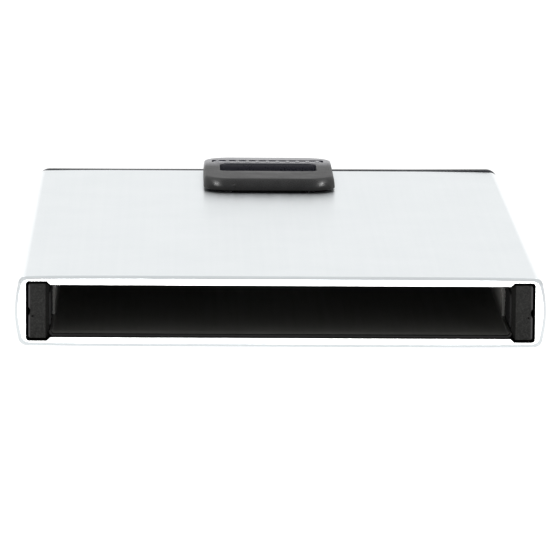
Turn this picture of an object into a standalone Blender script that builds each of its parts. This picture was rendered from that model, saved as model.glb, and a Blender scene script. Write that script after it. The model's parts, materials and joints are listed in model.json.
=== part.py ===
"""Slim pocket case: an extruded aluminium sleeve with an open mouth and a stowable strap loop.

The mouth looks along -Y, the cap closes the +Y end, +Z is up.  The origin is the middle of the
footprint, on the surface that the case lies on.  All lengths below are in millimetres and are
turned into metres when a mesh is made.
"""
import bpy
import bmesh
import math

MM = 0.001

# ---- driving dimensions -------------------------------------------------------------------
CASE_LENGTH = 92.0          # mouth to the back of the cap
CASE_WIDTH = 65.4           # across the bulged sides
CASE_HEIGHT = 8.8           # sleeve only, without the loop
FIT_GAP = 0.3               # clearance between neighbouring pieces
SLIM_GAP = 0.2              # clearance round the thin liner

CROWN = 0.1                 # fall of the top face from its flat middle to the corners
FLAT_HALF = 20.0            # half width of the flat middle
SIDE_BULGE = 0.4            # bulge of each side wall
CORNER = 1.0                # radius of the long edges
MOUTH_CHAMFER = 0.35
REAR_CHAMFER = 0.15

CAVITY_HALF_HEIGHT = 3.26   # between the liner panels' backs
CAVITY_HALF_WIDTH = 28.35   # where the 45 degree step starts
CHANNEL_HALF_HEIGHT = 3.7   # taller channel along each side
CHANNEL_HALF_WIDTH = 31.35
CHANNEL_CORNER = 0.4
TOOL_REACH = 5.0            # how far a cutter runs on past the body's end

LINER_WALL = 0.3
LINER_HALF_WIDTH = 28.2
LINER_RADIUS = 0.5
LINER_SETBACK = 0.3         # from the mouth to the front edge of the liner's floor
LINER_TOP_SETBACK = 3.4     # the same for its ceiling, which starts farther in
LIP_GAP = 0.7               # the liner's walls are cut away this far beside the mouth blocks
LIP_RISE = 0.15             # height of the edge that stays on its floor there

BLOCK_LENGTH = 12.4
BLOCK_INNER = 28.5          # inner face of the blocks in the channels
BLOCK_SETBACK = 0.1         # from the mouth to the front of the mouth blocks
LEAD_IN_WIDTH = 0.45        # taper that guides things in between the mouth blocks
LEAD_IN_LENGTH = 1.3
GROOVE_HALF_HEIGHT = 0.55   # groove along the outside of each block
GROOVE_DEPTH = 0.25
BLOCK_CORNER = 0.35
BLOCK_REAR_GAP = 0.4        # from the rear blocks to the sleeve's end
BORE_START = 4.0            # from a rear block's front to its screw bore
PAD_THICKNESS = 0.5
PAD_PROUD = 0.2
PAD_LENGTH = 9.0
PAD_HEIGHT = 4.2

CAP_THICKNESS = 1.4
CAP_BULGE = 0.3
CAP_CORNER = 1.6            # rounder than the sleeve's long edges
CAP_INSET = 0.02
CAP_EDGE = 0.25
PLUG_LENGTH = 2.7
PLUG_HALF_WIDTH = 27.5
PLUG_CORNER = 0.8
BUMPER_HALF_WIDTH = 25.0
BUMPER_THICKNESS = 1.0
BUMPER_RISE = 0.9           # from the cavity's floor to the felt
SCREW_X = 29.85
SCREW_SHANK = 0.5
SCREW_HEAD = 1.05
SCREW_HEAD_HEIGHT = 0.45
SCREW_LENGTH = 8.0
SCREW_SINK = 0.08           # head below the cap's back face
DRIVE_DEPTH = 0.25
DRIVE_REACH = 0.65          # half length of the cross recess's arms
DRIVE_HALF_WIDTH = 0.13

LOOP_WIDTH = 18.0
LOOP_LENGTH = 23.2
LOOP_THICKNESS = 1.45
LOOP_CORNER = 3.3
SLOT_HALF_WIDTH = 6.7
SLOT_FRONT = 9.3            # from the loop's front edge to the strap slot
SLOT_LENGTH = 6.9
SLOT_CORNER = 0.9
STEM_HALF_WIDTH = 5.0
STEM_SETBACK = 0.9          # from the loop's front edge to the stem
STEM_CORNER = 0.9
STEM_SLOT_CORNER = 1.2
STEM_LENGTH = 4.5
LOOP_TRAVEL = 13.0

CARRIAGE_HALF_WIDTH = 6.3
CARRIAGE_LENGTH = 7.2
CARRIAGE_THICKNESS = 0.8
CARRIAGE_SCREW_X = 2.6
CARRIAGE_SCREW_SHANK = 0.42
CARRIAGE_SCREW_HEAD = 0.85
CARRIAGE_SINK = 0.5         # depth of the screw heads' recesses
SPRING_THICKNESS = 0.18
SPRING_LENGTH = 16.0
SPRING_BUMP = 0.5
GUIDE_HALF_WIDTH = 8.2
GUIDE_WALL = 0.5
GUIDE_FLOOR = 0.4
TRAY_CORNER = 0.6           # upright corners of the guide and the carriage

RIB_COUNT = 11
RIB_WIDTH = 0.55
RIB_HALF_LENGTH = 0.65
RIB_ROW_HALF = 7.0          # from the middle to the outermost ribs
RIB_STRIP_HALF_WIDTH = 7.6
RIB_STRIP_HALF_LENGTH = 0.9
RIB_STRIP_DROP = 0.35       # from the loop's top face to the strip's underside
RIB_STRIP_THICKNESS = 0.2
RIB_PROUD = 0.05            # ribs above the loop's top face
RIB_STRIP_INSET = 4.6       # from the loop's back edge to the middle of the ribs

# ---- levels worked out from them ----------------------------------------------------------
MOUTH_Y = -CASE_LENGTH / 2
BACK_Y = CASE_LENGTH / 2
MID_Z = CASE_HEIGHT / 2
CEILING_Z = MID_Z + CAVITY_HALF_HEIGHT
FLOOR_Z = MID_Z - CAVITY_HALF_HEIGHT
SLEEVE_END_Y = BACK_Y - CAP_THICKNESS - FIT_GAP
LOOP_FRONT_Y = BACK_Y - LOOP_LENGTH
LOOP_BASE_Z = CASE_HEIGHT + FIT_GAP
LOOP_TOP_Z = LOOP_BASE_Z + LOOP_THICKNESS
STEM_FRONT_Y = LOOP_FRONT_Y + STEM_SETBACK
STEM_BACK_Y = STEM_FRONT_Y + STEM_LENGTH
STEM_MID_Y = (STEM_FRONT_Y + STEM_BACK_Y) / 2
CARRIAGE_TOP_Z = CEILING_Z - FIT_GAP
CARRIAGE_BASE_Z = CARRIAGE_TOP_Z - CARRIAGE_THICKNESS
CARRIAGE_FRONT_Y = STEM_MID_Y - CARRIAGE_LENGTH / 2
CARRIAGE_BACK_Y = STEM_MID_Y + CARRIAGE_LENGTH / 2
GUIDE_FLOOR_Z = CARRIAGE_BASE_Z - FIT_GAP
GUIDE_BASE_Z = GUIDE_FLOOR_Z - GUIDE_FLOOR
GUIDE_TOP_Z = CEILING_Z - SLIM_GAP
GUIDE_FRONT_Y = CARRIAGE_FRONT_Y - FIT_GAP - GUIDE_WALL
GUIDE_BACK_Y = CARRIAGE_BACK_Y + LOOP_TRAVEL + FIT_GAP + GUIDE_WALL
PLUG_FRONT_Y = BACK_Y - CAP_THICKNESS - PLUG_LENGTH
PLUG_TOP_Z = GUIDE_BASE_Z - FIT_GAP
LINER_BACK_Y = PLUG_FRONT_Y - 0.5
RIB_STRIP_Y = BACK_Y - RIB_STRIP_INSET


# ---- outlines -----------------------------------------------------------------------------
def rounded_rectangle(x0, x1, y0, y1, radius, steps=5):
    """Corner arcs of a rectangle, counter-clockwise from its lower left corner."""
    centres = ((x0 + radius, y0 + radius, 180), (x1 - radius, y0 + radius, 270),
               (x1 - radius, y1 - radius, 0), (x0 + radius, y1 - radius, 90))
    points = []
    for cx, cy, start in centres:
        for i in range(steps + 1):
            angle = math.radians(start + 90 * i / steps)
            points.append((cx + radius * math.cos(angle), cy + radius * math.sin(angle)))
    return points


def circle(cx, cy, radius, sides=20):
    turn = 2 * math.pi / sides
    return [(cx + radius * math.cos(turn * i), cy + radius * math.sin(turn * i))
            for i in range(sides)]


def sleeve_outline(inset=0.0, crown=CROWN, bulge=SIDE_BULGE, corner=CORNER):
    """Cross-section of the sleeve about its centre: crowned faces, bulged sides, small corners."""
    half_height = CASE_HEIGHT / 2 - inset
    corner_x = CASE_WIDTH / 2 - bulge - inset
    last_top_x = corner_x - corner
    run = last_top_x - FLAT_HALF
    quarter = []
    for i in range(4):
        quarter.append((FLAT_HALF + run * i / 4, half_height - crown * (i / 4) ** 2))
    shoulder_z = half_height - crown - corner
    for i in range(6):
        angle = math.radians(90 * i / 5)
        quarter.append((last_top_x + corner * math.sin(angle),
                        shoulder_z + corner * math.cos(angle)))
    for i in range(1, 5):
        z = shoulder_z * (1 - i / 4)
        quarter.append((corner_x + bulge * (1 - (z / shoulder_z) ** 2), z))
    below = [(x, -z) for x, z in reversed(quarter[:-1])]
    right = quarter + below
    left = [(-x, -z) for x, z in right]
    return right + left


def cavity_outline():
    """Inside of the sleeve: a wide middle and a taller channel along each side."""
    step = CHANNEL_HALF_HEIGHT - CAVITY_HALF_HEIGHT
    radius = CHANNEL_CORNER
    right = [(CAVITY_HALF_WIDTH, CAVITY_HALF_HEIGHT),
             (CAVITY_HALF_WIDTH + step, CHANNEL_HALF_HEIGHT)]
    for i in range(4):
        angle = math.radians(30 * i)
        right.append((CHANNEL_HALF_WIDTH - radius + radius * math.sin(angle),
                      CHANNEL_HALF_HEIGHT - radius + radius * math.cos(angle)))
    right += [(x, -z) for x, z in reversed(right)]
    return right + [(-x, -z) for x, z in right]


def block_outline():
    """Section of a channel block: stepped inner corners, round outer ones, a groove outside."""
    top = CHANNEL_HALF_HEIGHT - FIT_GAP
    outer = CHANNEL_HALF_WIDTH - FIT_GAP
    step = CHANNEL_HALF_HEIGHT - CAVITY_HALF_HEIGHT
    radius = BLOCK_CORNER
    upper = [(BLOCK_INNER, top - step), (BLOCK_INNER + step, top)]
    for i in range(4):
        angle = math.radians(30 * i)
        upper.append((outer - radius + radius * math.sin(angle),
                      top - radius + radius * math.cos(angle)))
    upper += [(outer, GROOVE_HALF_HEIGHT), (outer - GROOVE_DEPTH, GROOVE_HALF_HEIGHT - 0.2)]
    return upper + [(x, -z) for x, z in reversed(upper)]


# ---- mesh tools ---------------------------------------------------------------------------
def material(name, colour, roughness, metallic=0.0):
    mat = bpy.data.materials.new(name)
    mat.use_nodes = True
    shader = mat.node_tree.nodes["Principled BSDF"]
    shader.inputs["Base Color"].default_value = (*colour, 1.0)
    shader.inputs["Roughness"].default_value = roughness
    shader.inputs["Metallic"].default_value = metallic
    return mat


def loft(name, rings, mat=None, smooth=30.0):
    """Closed body through rings of equally many points, with a flat face on each end."""
    mesh = bpy.data.meshes.new(name)
    bm = bmesh.new()
    levels = [[bm.verts.new((x * MM, y * MM, z * MM)) for x, y, z in ring] for ring in rings]
    count = len(levels[0])
    for low, high in zip(levels, levels[1:]):
        for i in range(count):
            j = (i + 1) % count
            bm.faces.new((low[i], low[j], high[j], high[i]))
    bm.faces.new(levels[0])
    bm.faces.new(levels[-1])
    bmesh.ops.recalc_face_normals(bm, faces=bm.faces)
    bm.to_mesh(mesh)
    bm.free()
    mesh.shade_smooth()
    mesh.set_sharp_from_angle(angle=math.radians(smooth))
    obj = bpy.data.objects.new(name, mesh)
    bpy.context.scene.collection.objects.link(obj)
    if mat:
        mesh.materials.append(mat)
    return obj


def along_y(outline, y, z=MID_Z):
    """Ring of a section that is drawn about height z."""
    return [(px, y, z + pz) for px, pz in outline]


def along_z(outline, z):
    return [(px, py, z) for px, py in outline]


def prism_y(name, outline, y0, y1, mat=None, z=MID_Z):
    return loft(name, [along_y(outline, y0, z), along_y(outline, y1, z)], mat)


def prism_z(name, outline, z0, z1, mat=None):
    return loft(name, [along_z(outline, z0), along_z(outline, z1)], mat)


def block(name, x0, x1, y0, y1, z0, z1, mat=None, radius=0.2):
    """Flat piece with rounded upright edges."""
    return prism_z(name, rounded_rectangle(x0, x1, y0, y1, radius, 3), z0, z1, mat)


def apply_tool(target, tool, operation="DIFFERENCE"):
    """Cut a tool from a body, or join it on.  The tool stays in the file as a hidden guide."""
    tool.hide_render = True
    tool.display_type = "WIRE"
    tool.hide_set(True)
    step = target.modifiers.new(tool.name, "BOOLEAN")
    step.operation = operation
    step.solver = "EXACT"
    step.object = tool


# ---- fixed pieces -------------------------------------------------------------------------
def make_shell():
    rings = [along_y(sleeve_outline(MOUTH_CHAMFER), MOUTH_Y),
             along_y(sleeve_outline(), MOUTH_Y + MOUTH_CHAMFER),
             along_y(sleeve_outline(), SLEEVE_END_Y - REAR_CHAMFER),
             along_y(sleeve_outline(REAR_CHAMFER), SLEEVE_END_Y)]
    shell = loft("shell", rings, material("satin_aluminium", (0.80, 0.82, 0.84), 0.38, 1.0))
    apply_tool(shell, prism_y("cavity_tool", cavity_outline(), MOUTH_Y - TOOL_REACH,
                               BACK_Y + TOOL_REACH))
    slot = rounded_rectangle(-STEM_HALF_WIDTH - FIT_GAP, STEM_HALF_WIDTH + FIT_GAP,
                             STEM_FRONT_Y - FIT_GAP, STEM_BACK_Y + LOOP_TRAVEL + FIT_GAP,
                             STEM_SLOT_CORNER)
    apply_tool(shell, prism_z("stem_slot_tool", slot, CEILING_Z - 1, CASE_HEIGHT + 1))


def make_liner():
    half = CAVITY_HALF_HEIGHT - SLIM_GAP
    outer = rounded_rectangle(-LINER_HALF_WIDTH, LINER_HALF_WIDTH, -half, half, LINER_RADIUS)
    inner_half = half - LINER_WALL
    inner_width = LINER_HALF_WIDTH - LINER_WALL
    inner = rounded_rectangle(-inner_width, inner_width, -inner_half, inner_half,
                              LINER_RADIUS - LINER_WALL)
    liner = prism_y("inner_liner", outer, MOUTH_Y + LINER_SETBACK, LINER_BACK_Y,
                    material("black_liner", (0.012, 0.012, 0.012), 0.3))
    apply_tool(liner, prism_y("liner_hollow_tool", inner, MOUTH_Y - TOOL_REACH,
                              BACK_Y + TOOL_REACH))
    lip_half = BLOCK_INNER - PAD_PROUD - LIP_GAP
    lip_z = FLOOR_Z + SLIM_GAP + LINER_WALL + LIP_RISE
    for side in (-1, 1):
        x0, x1 = sorted((side * lip_half, side * (CASE_WIDTH / 2)))
        tool = block("liner_side_tool", x0, x1, MOUTH_Y - TOOL_REACH,
                     MOUTH_Y + BLOCK_SETBACK + BLOCK_LENGTH + FIT_GAP, lip_z, CASE_HEIGHT + 2)
        apply_tool(liner, tool)
    top = block("liner_top_tool", -lip_half - 1, lip_half + 1, MOUTH_Y - TOOL_REACH,
                MOUTH_Y + LINER_TOP_SETBACK, MID_Z, CASE_HEIGHT + 2)
    apply_tool(liner, top)
    notch_half = GUIDE_HALF_WIDTH + FIT_GAP
    notch = block("liner_notch_tool", -notch_half, notch_half, GUIDE_FRONT_Y - FIT_GAP,
                  BACK_Y + TOOL_REACH, MID_Z, CASE_HEIGHT + 2)
    apply_tool(liner, notch)


def make_channel_block(name, side, front_y, mat, with_pad):
    """Block pressed into a side channel; the mouth blocks hold a pad, the rear ones a screw."""
    outline = [(side * x, z) for x, z in block_outline()]
    body = prism_y(name, outline, front_y, front_y + BLOCK_LENGTH, mat)
    if with_pad:
        corner = (side * (BLOCK_INNER - 1), front_y - 1)
        wedge = [corner,
                 (side * (BLOCK_INNER + LEAD_IN_WIDTH), front_y - 1),
                 (side * (BLOCK_INNER + LEAD_IN_WIDTH), front_y),
                 (side * BLOCK_INNER, front_y + LEAD_IN_LENGTH),
                 (side * (BLOCK_INNER - 1), front_y + LEAD_IN_LENGTH)]
        apply_tool(body, prism_z(name + "_taper_tool", wedge, -1, CASE_HEIGHT + 1))
        depth = PAD_THICKNESS - PAD_PROUD + FIT_GAP
        x0, x1 = sorted((side * (BLOCK_INNER - 1), side * (BLOCK_INNER + depth)))
        reach = PAD_LENGTH / 2 + FIT_GAP
        middle = front_y + BLOCK_LENGTH / 2
        half = PAD_HEIGHT / 2 + FIT_GAP
        pocket = block(name + "_pocket_tool", x0, x1, middle - reach, middle + reach,
                       MID_Z - half, MID_Z + half)
        apply_tool(body, pocket)
    else:
        hole = circle(side * SCREW_X, 0, SCREW_SHANK + FIT_GAP, 16)
        apply_tool(body, prism_y(name + "_hole_tool", hole, front_y + BORE_START, BACK_Y + TOOL_REACH))
    return body


def make_grip_pad(name, side, mat):
    face = BLOCK_INNER - PAD_PROUD
    x0, x1 = sorted((side * face, side * (face + PAD_THICKNESS)))
    middle = MOUTH_Y + BLOCK_SETBACK + BLOCK_LENGTH / 2
    block(name, x0, x1, middle - PAD_LENGTH / 2, middle + PAD_LENGTH / 2,
          MID_Z - PAD_HEIGHT / 2, MID_Z + PAD_HEIGHT / 2, mat, 0.15)


def make_end_cap():
    stations = ((CAP_INSET, BACK_Y - CAP_THICKNESS), (CAP_INSET, BACK_Y - CAP_EDGE),
                (CAP_INSET + CAP_EDGE, BACK_Y))
    rings = [along_y(sleeve_outline(inset, 0.0, CAP_BULGE, CAP_CORNER), y) for inset, y in stations]
    cap = loft("end_cap", rings, material("black_cap", (0.015, 0.015, 0.016), 0.42))
    plug = block("cap_plug_tool", -PLUG_HALF_WIDTH, PLUG_HALF_WIDTH, PLUG_FRONT_Y, BACK_Y - 0.5,
                 FLOOR_Z + FIT_GAP, PLUG_TOP_Z, radius=PLUG_CORNER)
    apply_tool(cap, plug, "UNION")
    for side, word in ((-1, "left"), (1, "right")):
        pocket = circle(side * SCREW_X, 0, SCREW_HEAD + FIT_GAP, 24)
        sink = BACK_Y - SCREW_SINK - SCREW_HEAD_HEIGHT - FIT_GAP
        apply_tool(cap, prism_y("cap_pocket_tool_" + word, pocket, sink, BACK_Y + 1))
        hole = circle(side * SCREW_X, 0, SCREW_SHANK + FIT_GAP, 16)
        apply_tool(cap, prism_y("cap_hole_tool_" + word, hole, BACK_Y - 5, BACK_Y + 1))


def screw_rings(place, radius_head, head_low, head_high, radius_shank, tip, sides=20):
    """Rings of a screw from its tip to its head; place turns radius and level into a ring."""
    return [place(radius_shank * 0.5, tip, sides),
            place(radius_shank, tip + 0.4 * (1 if head_low > tip else -1), sides),
            place(radius_shank, head_low, sides),
            place(radius_head, head_low, sides),
            place(radius_head, head_high, sides)]


def make_cap_screw(name, side, mat):
    def place(radius, y, sides):
        return along_y(circle(side * SCREW_X, 0, radius, sides), y)
    head_high = BACK_Y - SCREW_SINK
    rings = screw_rings(place, SCREW_HEAD, head_high - SCREW_HEAD_HEIGHT, head_high,
                        SCREW_SHANK, BACK_Y - SCREW_LENGTH)
    screw = loft(name, rings, mat)
    centre = side * SCREW_X
    arms = ((DRIVE_REACH, DRIVE_HALF_WIDTH), (DRIVE_HALF_WIDTH, DRIVE_REACH))
    for turn, (reach, half) in enumerate(arms):
        arm = block(name + "_drive_tool_" + str(turn), centre - reach, centre + reach,
                    head_high - DRIVE_DEPTH, head_high + 1, MID_Z - half, MID_Z + half, radius=0.02)
        apply_tool(screw, arm)


def make_end_bumper():
    back_y = PLUG_FRONT_Y - FIT_GAP
    block("end_bumper", -BUMPER_HALF_WIDTH, BUMPER_HALF_WIDTH, back_y - BUMPER_THICKNESS, back_y,
          FLOOR_Z + BUMPER_RISE, PLUG_TOP_Z - 0.2, material("grey_felt", (0.05, 0.05, 0.052), 0.95), 0.3)


def make_slide_guide():
    """Shallow tray under the sleeve's top wall, in which the carriage runs."""
    guide = block("slide_guide", -GUIDE_HALF_WIDTH, GUIDE_HALF_WIDTH, GUIDE_FRONT_Y, GUIDE_BACK_Y,
                  GUIDE_BASE_Z, GUIDE_TOP_Z, material("black_guide", (0.02, 0.02, 0.02), 0.4),
                  TRAY_CORNER)
    half = GUIDE_HALF_WIDTH - GUIDE_WALL
    hollow = block("guide_hollow_tool", -half, half, GUIDE_FRONT_Y + GUIDE_WALL,
                   GUIDE_BACK_Y - GUIDE_WALL, GUIDE_FLOOR_Z, CASE_HEIGHT)
    apply_tool(guide, hollow)


def make_detent_spring(name, side, mat):
    """Steel leaf along the guide's wall, with one shallow bump that rubs on the carriage."""
    wall_x = GUIDE_HALF_WIDTH - GUIDE_WALL - FIT_GAP
    start = GUIDE_FRONT_Y + GUIDE_WALL + 1.0
    bump_y = start + SPRING_LENGTH / 2 + 0.5
    line = [(wall_x, start), (wall_x, bump_y - 1.5), (wall_x - SPRING_BUMP, bump_y),
            (wall_x, bump_y + 1.5), (wall_x, start + SPRING_LENGTH)]
    outline = [(side * x, y) for x, y in line]
    outline += [(side * (x - SPRING_THICKNESS), y) for x, y in reversed(line)]
    prism_z(name, outline, GUIDE_FLOOR_Z + 0.35, GUIDE_TOP_Z - 0.4, mat)


# ---- sliding pieces -----------------------------------------------------------------------
def loop_ring(z, side_inset, front_inset, back_inset, corner):
    outline = rounded_rectangle(-LOOP_WIDTH / 2 + side_inset, LOOP_WIDTH / 2 - side_inset,
                                LOOP_FRONT_Y + front_inset, BACK_Y - back_inset, corner, 7)
    return along_z(outline, z)


def make_loop():
    low, high = LOOP_BASE_Z, LOOP_TOP_Z
    rings = [loop_ring(low, 0.12, 0.12, 0.12, LOOP_CORNER),
             loop_ring(low + 0.12, 0.0, 0.0, 0.0, LOOP_CORNER),
             loop_ring(low + 0.6, 0.06, 0.55, 0.1, LOOP_CORNER),
             loop_ring(low + 1.15, 0.12, 1.35, 0.25, LOOP_CORNER),
             loop_ring(high, 0.28, 2.1, 0.8, LOOP_CORNER)]
    loop = loft("strap_loop", rings, material("black_loop", (0.03, 0.03, 0.032), 0.35), 24.0)
    slot_y = LOOP_FRONT_Y + SLOT_FRONT
    slot = rounded_rectangle(-SLOT_HALF_WIDTH, SLOT_HALF_WIDTH, slot_y, slot_y + SLOT_LENGTH,
                             SLOT_CORNER)
    apply_tool(loop, prism_z("strap_slot_tool", slot, low - 1, high + 1))
    stem = rounded_rectangle(-STEM_HALF_WIDTH, STEM_HALF_WIDTH, STEM_FRONT_Y, STEM_BACK_Y, STEM_CORNER)
    apply_tool(loop, prism_z("stem_tool", stem, CARRIAGE_TOP_Z + FIT_GAP, low + 0.4), "UNION")
    half_x = RIB_STRIP_HALF_WIDTH + FIT_GAP
    half_y = RIB_STRIP_HALF_LENGTH + FIT_GAP
    pocket = block("rib_pocket_tool", -half_x, half_x, RIB_STRIP_Y - half_y, RIB_STRIP_Y + half_y,
                   high - RIB_STRIP_DROP - FIT_GAP, high + 1, radius=0.3)
    apply_tool(loop, pocket)
    for side, word in ((-1, "left"), (1, "right")):
        hole = circle(side * CARRIAGE_SCREW_X, STEM_MID_Y, CARRIAGE_SCREW_SHANK + FIT_GAP, 14)
        apply_tool(loop, prism_z("loop_hole_tool_" + word, hole, CARRIAGE_TOP_Z - 1, high - 0.5))
    return loop


def make_rib_strip():
    """Inlay on the back bar with a row of small cross ribs for the fingertip."""
    base_z = LOOP_TOP_Z - RIB_STRIP_DROP
    strip = block("grip_rib_strip", -RIB_STRIP_HALF_WIDTH, RIB_STRIP_HALF_WIDTH,
                  RIB_STRIP_Y - RIB_STRIP_HALF_LENGTH, RIB_STRIP_Y + RIB_STRIP_HALF_LENGTH,
                  base_z, base_z + RIB_STRIP_THICKNESS,
                  material("black_ribs", (0.03, 0.03, 0.032), 0.4), 0.25)
    pitch = 2 * RIB_ROW_HALF / (RIB_COUNT - 1)
    for i in range(RIB_COUNT):
        middle = -RIB_ROW_HALF + pitch * i
        rib = block("rib_tool_%02d" % i, middle - RIB_WIDTH / 2, middle + RIB_WIDTH / 2,
                    RIB_STRIP_Y - RIB_HALF_LENGTH, RIB_STRIP_Y + RIB_HALF_LENGTH,
                    base_z + 0.05, LOOP_TOP_Z + RIB_PROUD, radius=0.1)
        apply_tool(strip, rib, "UNION")
    return strip


def make_carriage():
    carriage = block("carriage", -CARRIAGE_HALF_WIDTH, CARRIAGE_HALF_WIDTH, CARRIAGE_FRONT_Y,
                     CARRIAGE_BACK_Y, CARRIAGE_BASE_Z, CARRIAGE_TOP_Z,
                     material("white_acetal", (0.72, 0.72, 0.70), 0.35), TRAY_CORNER)
    for side, word in ((-1, "left"), (1, "right")):
        centre = side * CARRIAGE_SCREW_X
        sink = circle(centre, STEM_MID_Y, CARRIAGE_SCREW_HEAD + FIT_GAP, 20)
        apply_tool(carriage, prism_z("carriage_sink_tool_" + word, sink,
                                     CARRIAGE_BASE_Z - 1, CARRIAGE_BASE_Z + CARRIAGE_SINK))
        hole = circle(centre, STEM_MID_Y, CARRIAGE_SCREW_SHANK + FIT_GAP, 14)
        apply_tool(carriage, prism_z("carriage_hole_tool_" + word, hole,
                                     CARRIAGE_BASE_Z - 1, CARRIAGE_TOP_Z + 1))
    return carriage


def make_carriage_screw(name, side, mat):
    def place(radius, z, sides):
        return along_z(circle(side * CARRIAGE_SCREW_X, STEM_MID_Y, radius, sides), z)
    head_base = CARRIAGE_BASE_Z - 0.1
    rings = screw_rings(place, CARRIAGE_SCREW_HEAD, head_base + 0.3, head_base,
                        CARRIAGE_SCREW_SHANK, LOOP_TOP_Z - 0.8, 16)
    return loft(name, rings, mat)


# ---- the whole case -----------------------------------------------------------------------
def main():
    for obj in list(bpy.data.objects):
        bpy.data.objects.remove(obj, do_unlink=True)

    make_shell()
    make_liner()
    block_plastic = material("black_block", (0.035, 0.034, 0.032), 0.6)
    pad_rubber = material("black_pad", (0.01, 0.01, 0.01), 0.85)
    steel = material("zinc_screw", (0.6, 0.6, 0.6), 0.35, 1.0)
    spring_steel = material("spring_steel", (0.65, 0.64, 0.62), 0.25, 1.0)
    rear_front_y = SLEEVE_END_Y - BLOCK_REAR_GAP - BLOCK_LENGTH
    mouth_front_y = MOUTH_Y + BLOCK_SETBACK
    for side, word in ((-1, "left"), (1, "right")):
        make_channel_block("mouth_block_" + word, side, mouth_front_y, block_plastic, True)
        make_channel_block("rear_block_" + word, side, rear_front_y, block_plastic, False)
        make_grip_pad("grip_pad_" + word, side, pad_rubber)
        make_cap_screw("cap_screw_" + word, side, steel)
        make_detent_spring("detent_spring_" + word, side, spring_steel)
    make_end_cap()
    make_end_bumper()
    make_slide_guide()

    sliding = [make_loop(), make_rib_strip(), make_carriage()]
    for side, word in ((-1, "left"), (1, "right")):
        sliding.append(make_carriage_screw("carriage_screw_" + word, side, steel))
    slider = bpy.data.objects.new("slider_axis", None)
    slider.location = (0, STEM_MID_Y * MM, CASE_HEIGHT * MM)
    bpy.context.scene.collection.objects.link(slider)
    bpy.context.view_layer.update()
    for obj in sliding:
        obj.parent = slider
        obj.matrix_parent_inverse = slider.matrix_world.inverted()


main()
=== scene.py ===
"""Looks of a slim pocket case: fine surfaces, materials, studio light and camera.

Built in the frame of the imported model: the mouth looks along -Y, +Z is up.  Lengths in this
script are millimetres; MM turns them into the metres of the scene.
"""
import json
import math
import random

import bmesh
import bpy
from mathutils import Matrix, Vector


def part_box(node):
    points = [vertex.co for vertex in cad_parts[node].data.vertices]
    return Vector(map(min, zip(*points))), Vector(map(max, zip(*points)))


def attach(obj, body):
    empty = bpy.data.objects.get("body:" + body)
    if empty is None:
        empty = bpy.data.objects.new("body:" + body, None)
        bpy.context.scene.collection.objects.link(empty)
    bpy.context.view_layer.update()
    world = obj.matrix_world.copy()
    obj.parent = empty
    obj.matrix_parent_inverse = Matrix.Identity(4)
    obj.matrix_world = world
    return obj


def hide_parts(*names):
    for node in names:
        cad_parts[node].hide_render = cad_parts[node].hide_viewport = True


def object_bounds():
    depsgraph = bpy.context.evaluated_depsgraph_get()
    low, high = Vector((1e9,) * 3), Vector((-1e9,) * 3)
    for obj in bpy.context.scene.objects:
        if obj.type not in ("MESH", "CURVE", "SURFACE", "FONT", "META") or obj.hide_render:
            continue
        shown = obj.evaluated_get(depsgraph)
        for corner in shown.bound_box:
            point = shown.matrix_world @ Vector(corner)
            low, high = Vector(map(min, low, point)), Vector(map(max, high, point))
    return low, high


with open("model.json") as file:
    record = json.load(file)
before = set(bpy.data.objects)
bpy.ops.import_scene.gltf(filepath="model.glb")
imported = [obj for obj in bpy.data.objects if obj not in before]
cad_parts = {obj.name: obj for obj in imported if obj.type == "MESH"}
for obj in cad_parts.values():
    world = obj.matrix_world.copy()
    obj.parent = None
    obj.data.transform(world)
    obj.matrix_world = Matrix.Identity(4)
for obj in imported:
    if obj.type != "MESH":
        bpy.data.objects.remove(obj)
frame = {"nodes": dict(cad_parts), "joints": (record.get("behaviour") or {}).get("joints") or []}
cad_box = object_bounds()

MM = 0.001
SIDES = ((-1, "left"), (1, "right"))


def box_mm(node):
    """A node's lowest and highest corner, in millimetres."""
    low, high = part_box(node)
    return [v / MM for v in low], [v / MM for v in high]


# ---- dimensions read from the frame -------------------------------------------------------
SHELL_LOW, SHELL_HIGH = box_mm("shell")
LOOP_LOW, LOOP_HIGH = box_mm("strap_loop")
CAP_LOW, CAP_HIGH = box_mm("end_cap")
LINER_LOW, LINER_HIGH = box_mm("inner_liner")
BLOCK_LOW, BLOCK_HIGH = box_mm("mouth_block_right")
PAD_LOW, PAD_HIGH = box_mm("grip_pad_right")
GUIDE_LOW, GUIDE_HIGH = box_mm("slide_guide")
RIB_LOW, RIB_HIGH = box_mm("grip_rib_strip")
BUMPER_LOW, BUMPER_HIGH = box_mm("end_bumper")
CAP_SCREW_LOW, CAP_SCREW_HIGH = box_mm("cap_screw_right")

MOUTH_Y = SHELL_LOW[1]
SLEEVE_END_Y = SHELL_HIGH[1]
BACK_Y = CAP_HIGH[1]
CASE_WIDTH = SHELL_HIGH[0] - SHELL_LOW[0]
CASE_HEIGHT = SHELL_HIGH[2]
MID_Z = CASE_HEIGHT / 2

# ---- dimensions shared with the design ----------------------------------------------------
FIT_GAP = 0.3
CROWN = 0.1
FLAT_HALF = 20.0
SIDE_BULGE = 0.4
CORNER = 1.0
MOUTH_CHAMFER = 0.35
REAR_CHAMFER = 0.15
CAVITY_HALF_HEIGHT = 3.26
CAVITY_HALF_WIDTH = 28.35
CHANNEL_HALF_HEIGHT = 3.7
CHANNEL_HALF_WIDTH = 31.35
STEP = CHANNEL_HALF_HEIGHT - CAVITY_HALF_HEIGHT
CEILING_Z = MID_Z + CAVITY_HALF_HEIGHT
LINER_RADIUS = 0.5
LINER_WALL = 0.3
BLOCK_INNER = BLOCK_LOW[0]
BLOCK_LENGTH = BLOCK_HIGH[1] - BLOCK_LOW[1]
LEAD_IN_WIDTH = 0.45
LEAD_IN_LENGTH = 1.3
GROOVE_DROP = 0.08
CAP_INSET = 0.02
CAP_BULGE = 0.3
CAP_CORNER = 1.6
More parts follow.
